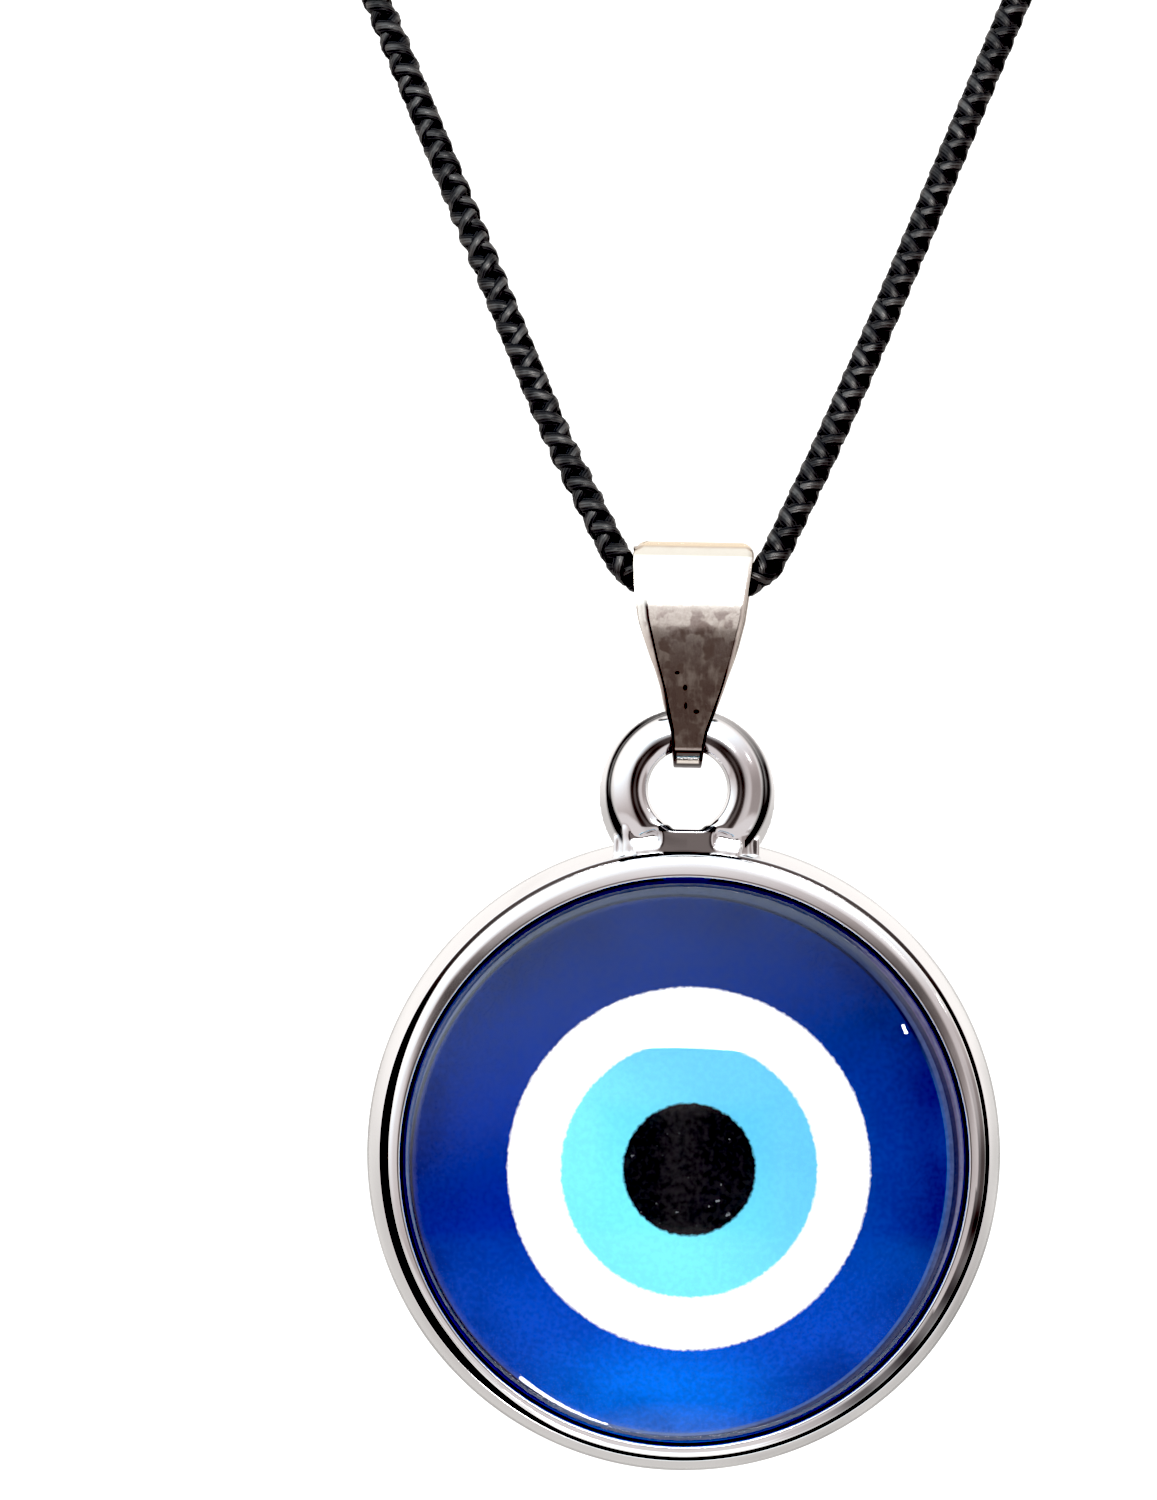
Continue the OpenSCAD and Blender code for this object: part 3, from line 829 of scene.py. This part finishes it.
hoop_r = LOOP_R / MM
hoop_wire = WIRE_R / MM
shape = bmesh.new()
hoop = [
    Vector((c - CREST_IN * max(s, 0), 0, s)) * hoop_wire
    for c, s in turns_between(0, 360, WIRE_CORNERS)[:-1]
]
ring_path = []
for k in range(RING_STEPS + 1):
    from_top = RING_END * (2 * k / RING_STEPS - 1)
    size = 1 - 0.5 * clamped((abs(from_top) - THIN_FROM) / 8)
    r, a = hoop_r - (1 - size) * hoop_wire, math.radians(90 + from_top)
    ring_path.append((r * math.cos(a), r * math.sin(a), a, size))
feet = [[(side * x, y, 0, 0.62) for x, y in FOOT_PATH] for side in (-1, 1)]
for path in (ring_path, *feet):
    rows = []
    for x, y, turn, size in path:
        c, s = math.cos(turn), math.sin(turn)
        tall = 0.95 if path is ring_path else size
        rows.append([
            shape.verts.new((x + p.x * c * size, y + p.x * s * size, p.z * tall)) for p in hoop
        ])
    skin(shape, rows)
outer = hoop_r + hoop_wire
base = -0.9 * hoop_wire
web = [(hoop_r, base), (outer + DRAFT, base), (outer - 0.1, 0.1 * hoop_wire), (hoop_r, 0.0)]
into(shape, web, 96, (0, -SAG, 0))
to_tray = (AXIS_Z - LOOP_Z) / MM
# The bridge's two blocks: lowest and highest point, half width, back and front.
for low, high, half, back_h, front_h in (
    (-3.5, -1.78, 1.2, -0.765, 0.8), (-3.5, -2.1, 3.25, -0.765, 0.05),
):
    middle = Vector((0, low + high, back_h + front_h)) / 2
    for corner in bmesh.ops.create_cube(shape, size=1)["verts"]:
        corner.co = middle + corner.co * Vector((2 * half, high - low, front_h - back_h))
lift = CAST_UP / MM
# The fillets: reach in degrees from the top, and section as (radius from the eye's axis, height).
for reach_low, reach_high, seat in (
    (-17, 17, ((13.0, -1.9), (13.86, -1.9), (13.52, 0.68), (13.0, 0.68))),
    (4.5, 13, ((12.9, 0.0), (13.36, 0.0), (13.36, 0.9), (12.9, 0.9))),
    (-13, -4.5, ((12.9, 0.0), (13.36, 0.0), (13.36, 0.9), (12.9, 0.9))),
    (4.2, 10, ((12.9, -1.9), (14.55, -1.9), (14.55, 0.3), (13.7, 0.8), (12.9, 0.8))),
    (-10, -4.2, ((12.9, -1.9), (14.55, -1.9), (14.55, 0.3), (13.7, 0.8), (12.9, 0.8))),
):
    arcs = []
    for c, s in turns_between(90 + reach_low, 90 + reach_high, SEAT_STEPS):
        arcs.append([shape.verts.new((r * c, to_tray + lift + r * s, h)) for r, h in seat])
    skin(shape, arcs)
bmesh.ops.recalc_face_normals(shape, faces=shape.faces)
blank = bpy.data.meshes.new("cast_loop")
shape.to_mesh(blank)
shape.free()
rough_cast = bpy.data.objects.new("cast_loop", blank)
bpy.context.scene.collection.objects.link(rough_cast)
joiner = rough_cast.modifiers.new("join", "REMESH")
joiner.mode = "VOXEL"
joiner.voxel_size = 0.075
softener = rough_cast.modifiers.new("soften", "SMOOTH")
softener.factor = 0.5
softener.iterations = 10
posed = rough_cast.evaluated_get(bpy.context.evaluated_depsgraph_get())
ring_mesh = bpy.data.meshes.new_from_object(posed)
bpy.data.objects.remove(rough_cast)

# Painted shade lies along the outer seam, at the joint with the lip, round the hole and on the sill,
# and a painted dark reflection runs round the inner side of the ring.
darknesses = ring_mesh.attributes.new("shade_and_grime", "FLOAT", "POINT")
for corner, darkness in zip(ring_mesh.vertices, darknesses.data):
    x, y, z = corner.co
    out = math.hypot(x, y)
    low_left = clamped(-0.1 - y / outer) if x < 0 else 0
    wide = 0.15 + 0.25 * low_left + (0.12 * (1 - abs(y / outer)) if x > 0 else 0)
    seam = min(2.2 * max(0, 1 - abs(out - outer - 0.02) / wide), 1) if -0.75 < z < 0.35 else 0
    seam *= clamped((1.75 if x < 0 else 1.3) - 0.95 * y / outer)
    from_axis = math.hypot(x, y - to_tray - lift)
    joint = clamped((13.53 - from_axis) / 0.06) if z > 0.2 else 0
    inside = min(max(1 - abs(out - 2.42) / 0.3, 0) * 1.6, 1)
    downward = clamped((1.6 if x < 0 else 1.15) + 2 * y / outer)
    patchy = 0.85 + 0.15 * math.sin(9 * math.atan2(y, x))
    inner_dark_reflection = inside * downward * patchy * (0.5 + 0.4 * max(y / outer, 0)) if z > 0 else 0
    hole_edge = 0.65 * clamped((1.93 - out) / 0.06) * max(1 - abs(z) / 0.45, 0) ** 0.5
    hole_edge *= y > -1.6
    sill = 0.97 * clamped((y + 1.93) / 0.06) if abs(x) < 1.25 and y < -1.6 and z > 0.2 else 0
    darkness.value = max(seam, joint, inner_dark_reflection, hole_edge, sill)
    corner.co = Vector((x, -z, y)) * MM + Vector((LOOP_X, LOOP_Y, LOOP_Z))
loop = modelled("tray_loop", ring_mesh, chrome)
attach(loop, "pendant")
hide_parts("tray")

# Print. A round of paper laid in the cup under the glass, printed deep blue, white, light blue and
# black, each ring a piece of its own. Its blue carries painted light, brighter low down and darker on
# top, and its slate border is a painted reflection of the glass's round edge, paler at the sides and
# banded at the right.
PRINT_BACK = 1.05 * MM
PRINT_FRONT = 1.31 * MM
EYE_X = 0.2 * MM
EYE_DOWN = 0.3 * MM
PRINTED_R = 11.6 * MM
EYE_CENTRE = (AXIS_X + EYE_X, 0.0, AXIS_Z - EYE_DOWN)
BLACK = (0.028, 0.028, 0.029)
SPECK = (0.16, 0.17, 0.18)
LIGHT_BLUE = (0.15, 0.6, 0.8)
LIGHT_BLUE_LOW = (0.18, 0.74, 0.86)
LIGHT_BLUE_HIGH = (0.13, 0.52, 0.8)
WHITE = (0.95, 0.95, 0.95)
NAVY = (0.003, 0.026, 0.26)
NAVY_RIGHT = (0.003, 0.05, 0.3)
# Painted light in the blue: darker on top, lighter low down and brightest in a patch at the foot.
NAVY_PAINTED_SHADE = (0.001, 0.018, 0.17)
NAVY_PAINTED_LIGHT = (0.01, 0.07, 0.5)
NAVY_PAINTED_GLOW = (0.008, 0.17, 0.85)
NAVY_STAIN = (0.0, 0.004, 0.06)
# The slate border, its dark and light bands and the line at its inner edge are a painted reflection of
# the glass's round edge.
SLATE = (0.02, 0.035, 0.12)
PALE_SLATE_REFLECTION = (0.095, 0.13, 0.29)
DARK_BAND = (0.02, 0.03, 0.1)
LIGHT_BAND = (0.17, 0.15, 0.29)
EDGE_LINE = (0.0, 0.003, 0.04)
EDGE_LINE_RIGHT = (0.07, 0.14, 0.4)
printed = bpy.data.node_groups.new("printed_ink", "ShaderNodeTree")
for label, kind in (
    ("Place", "Vector"), ("Ink", "Color"), ("Inner Ink", "Color"), ("Inner", "Float"),
    ("Outer Ink", "Color"), ("Outer", "Float"), ("Mottle", "Float"),
):
    printed.interface.new_socket(label, in_out="INPUT", socket_type="NodeSocket" + kind)
printed.interface.new_socket("Color", in_out="OUTPUT", socket_type="NodeSocketColor")
given = put(printed, "NodeGroupInput").outputs
flat = vector_calc(printed, "MULTIPLY", given["Place"], (1.0, 0.0, 1.0))
wobble = put(printed, "ShaderNodeTexNoise", {"Vector": flat, "Scale": 5000.0, "Detail": 1.0}).outputs[0]
far = vector_calc(printed, "LENGTH", vector_calc(printed, "SUBTRACT", flat, EYE_CENTRE))
far = calc(printed, "ADD", far, calc(printed, "MULTIPLY_ADD", wobble, 0.16 * MM, -0.08 * MM))
grain = put(printed, "ShaderNodeTexNoise", {"Vector": flat, "Scale": 4200.0, "Detail": 4.0}).outputs[0]
cloud = put(printed, "ShaderNodeTexNoise", {"Vector": flat, "Scale": 420.0, "Detail": 2.0}).outputs[0]
uneven = calc(printed, "MULTIPLY_ADD", grain, 0.7, calc(printed, "MULTIPLY", cloud, 0.3))
uneven = ease(printed, uneven, 0.4, 0.6, -0.5, 0.5)
uneven = calc(printed, "MULTIPLY_ADD", uneven, given["Mottle"], 1.0)
even = put(printed, "ShaderNodeCombineColor", {0: uneven, 1: uneven, 2: uneven}).outputs[0]
ink = blend_colours(printed, 1.0, given["Ink"], even, "MULTIPLY")
for edge, inside, outside in (("Inner", 1.0, 0.0), ("Outer", 0.0, 1.0)):
    beyond = put(printed, "ShaderNodeMapRange", {
        "Value": calc(printed, "SUBTRACT", far, given[edge]),
        "From Min": -0.05 * MM, "From Max": 0.05 * MM, "To Min": inside, "To Max": outside,
    }).outputs[0]
    ink = blend_colours(printed, beyond, ink, given[edge + " Ink"])
put(printed, "NodeGroupOutput", {0: ink})


def from_point(tree, place, x, z, scale):
    """How far a place is from a point on the eye's axis, in x and z stretched by a scale."""
    away = vector_calc(tree, "SUBTRACT", place, (AXIS_X + x * MM, 0, AXIS_Z + z * MM))
    return vector_calc(tree, "LENGTH", vector_calc(tree, "MULTIPLY", away, scale))


def field_paint(tree, place, spot):
    """The deep blue with painted light, brighter low down and darker on top, and round it the slate
    border, a painted reflection of the glass's round edge.
    """
    paint = blend_colours(tree, ease(tree, spot["X"], AXIS_X, AXIS_X + 10 * MM), NAVY, NAVY_RIGHT)
    # Painted light: darker on top, lighter low down, and a bright patch at the foot where the dome
    # would gather light.
    high = ease(tree, spot["Z"], AXIS_Z, AXIS_Z + 9 * MM)
    low = ease(tree, spot["Z"], AXIS_Z - 1 * MM, AXIS_Z - 8 * MM)
    painted_glow = from_point(tree, place, -0.8, -10.2, (0.8, 0.0, 1.5))
    painted_glow = ease(tree, painted_glow, 6 * MM, 0.5 * MM)
    far = from_point(tree, place, -0.23, -0.21, (1.016, 0.0, 1.012))
    stain = put(tree, "ShaderNodeTexNoise", {"Vector": place, "Scale": 260.0, "Detail": 3.0})
    stain = ease(tree, stain.outputs[0], 0.4, 0.62, 0.0, 0.35)
    stain = calc(tree, "MULTIPLY", ease(tree, far, 9.0 * MM, 11.2 * MM), stain)
    for share, colour in (
        (high, NAVY_PAINTED_SHADE), (low, NAVY_PAINTED_LIGHT), (painted_glow, NAVY_PAINTED_GLOW), (stain, NAVY_STAIN),
    ):
        paint = blend_colours(tree, share, paint, colour)

    def border(start, end):
        """Goes from 0 to 1 between two distances past the printed blue's edge, in millimetres."""
        return ease(tree, far, PRINTED_R + start * MM, PRINTED_R + end * MM)

    # The slate border is a painted reflection of the glass's round edge: paler at the sides, banded at
    # the right, with a thin line at its inner edge.
    sideways = calc(tree, "ABSOLUTE", calc(tree, "SUBTRACT", spot["X"], AXIS_X))
    paler = ease(tree, spot["Z"], AXIS_Z - 7 * MM, AXIS_Z - 2 * MM, 0.15, 1.0)
    paler = calc(tree, "MULTIPLY", ease(tree, sideways, 7 * MM, 11 * MM), paler)
    slate = blend_colours(tree, paler, SLATE, PALE_SLATE_REFLECTION)
    banded = ease(tree, spot["X"], AXIS_X + 6 * MM, AXIS_X + 9 * MM)
    banded = calc(tree, "MULTIPLY", border(0.3, 0.36), banded)
    bands = blend_colours(tree, border(0.54, 0.62), DARK_BAND, LIGHT_BAND)
    slate = blend_colours(tree, banded, slate, bands)
    low_right = calc(tree, "SUBTRACT", spot["X"], spot["Z"])
    low_right = ease(tree, low_right, AXIS_X - AXIS_Z + 3 * MM, AXIS_X - AXIS_Z + 10 * MM)
    edge = blend_colours(tree, low_right, EDGE_LINE, EDGE_LINE_RIGHT)
    slate = blend_colours(tree, border(0.16, 0.06), slate, edge)
    return blend_colours(tree, border(-0.08, 0.0), paint, slate)


# Node, inner and outer radius, slot, ink, the inks inside and outside of it, and mottle.
print_rings = [
    ("eye_pupil", 0.0, 2.65, "print_black", BLACK, BLACK, LIGHT_BLUE, 0.25),
    ("eye_iris", 2.65, 5.15, "print_light_blue", LIGHT_BLUE, BLACK, WHITE, 0.08),
    ("eye_white", 5.15, 7.4, "print_white", WHITE, LIGHT_BLUE, NAVY, 0.02),
    ("eye_field", 7.4, 12.4, "print_blue", NAVY, WHITE, NAVY, 0.2),
]
for node, inner, outer, slot, colour, inside, outside, mottle in print_rings:
    inner *= MM
    outer *= MM
    sheet = [(outer, PRINT_BACK), (outer, PRINT_FRONT)]
    if inner:
        sheet += [(inner, PRINT_FRONT), (inner, PRINT_BACK)]
        disc = spin(sheet, closed=True)
    else:
        disc = spin([(0, PRINT_BACK)] + sheet + [(0, PRINT_FRONT)])
    stand(disc)
    for corner in disc.vertices:
        if Vector((corner.co.x - AXIS_X, corner.co.z - AXIS_Z)).length < 12.3 * MM:
            corner.co.x += EYE_X
            corner.co.z -= EYE_DOWN
    finish, tree, shader, place = finish_named(slot)
    spot = put(tree, "ShaderNodeSeparateXYZ", {0: place}).outputs
    paint = (*colour, 1)
    if node == "eye_field":
        paint = field_paint(tree, place, spot)
    elif node == "eye_iris":
        across = calc(tree, "ADD", spot["Z"], spot["X"])
        upper = ease(tree, across, EYE_CENTRE[2] - 5 * MM, EYE_CENTRE[2] + 5 * MM)
        paint = blend_colours(tree, upper, LIGHT_BLUE_LOW, LIGHT_BLUE_HIGH)
    elif node == "eye_pupil":
        specks = {"Vector": place, "Scale": 2600.0, "Detail": 2.0}
        specks = put(tree, "ShaderNodeTexNoise", specks).outputs[0]
        paint = blend_colours(tree, ease(tree, specks, 0.68, 0.74), colour, SPECK)
    inked = put(tree, "ShaderNodeGroup", {
        "Place": place, "Ink": paint, "Mottle": mottle,
        "Inner Ink": (*inside, 1), "Inner": inner if inner else -1.0,
        "Outer Ink": (*outside, 1), "Outer": outer if node != "eye_field" else 1.0,
    }, node_tree=printed)
    feed(tree, shader, Base_Color=inked.outputs[0], Roughness=0.6, Specular_IOR_Level=0.0)
    piece = modelled("printed_" + node, disc, finish)
    disc.set_sharp_from_angle(angle=math.radians(50))
    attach(piece, "pendant")
    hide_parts(node)

# Glass. A clear pressed dome with a flat back, glued over the print and held by the tray's rim.
# Its edge is a small round shoulder, which mirrors the room more strongly than the dome.
GLASS_R = (glass_high.x - glass_low.x) / 2
GLASS_BACK = 1.3 * MM
GLASS_EDGE = 1.5 * MM
GLASS_H = 6.0 * MM
dome_h = GLASS_H - GLASS_EDGE
dome_r = (GLASS_R**2 + dome_h**2) / (2 * dome_h)
dome_centre = GLASS_BACK + GLASS_H - dome_r
SHOULDER = 0.65 * MM
shoulder_h = dome_centre + math.sqrt((dome_r - SHOULDER) ** 2 - (GLASS_R - SHOULDER) ** 2)
shoulder_end = math.degrees(math.atan2(shoulder_h - dome_centre, GLASS_R - SHOULDER))
lens = (
    [(0, GLASS_BACK), (GLASS_R - 0.15 * MM, GLASS_BACK), (GLASS_R, GLASS_BACK + 0.15 * MM)]
    + arc((GLASS_R - SHOULDER, shoulder_h), SHOULDER, 0, shoulder_end, 8)
    + arc((0, dome_centre), dome_r, shoulder_end, 90, 48)[1:-1]
    + [(0, GLASS_BACK + GLASS_H)]
)
bead = spin(lens)
bevel = bead.attributes.new("bevel", "FLOAT", "POINT")
for corner, share in zip(bead.vertices, bevel.data):
    on_top = max(corner.co.y / GLASS_R, 0)
    if corner.co.z > GLASS_BACK + 0.2 * MM:
        share.value = clamped((corner.co.xy.length / MM - 12.0 + 0.25 * on_top) / 0.08)
        share.value *= 1 - 0.6 * on_top**2
stand(bead)
clear, tree, shader, place = finish_named("clear_glass")
feed(
    tree, shader, Base_Color=(1, 1, 1, 1), Roughness=0.0, IOR=1.52, Transmission_Weight=1.0,
    Coat_IOR=1.75, Coat_Roughness=0.06,
    Coat_Weight=put(tree, "ShaderNodeAttribute", attribute_name="bevel").outputs["Fac"],
)
glass = modelled("domed_glass", bead, clear)
bead.set_sharp_from_angle(angle=math.radians(50))
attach(glass, "pendant")
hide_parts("glass")
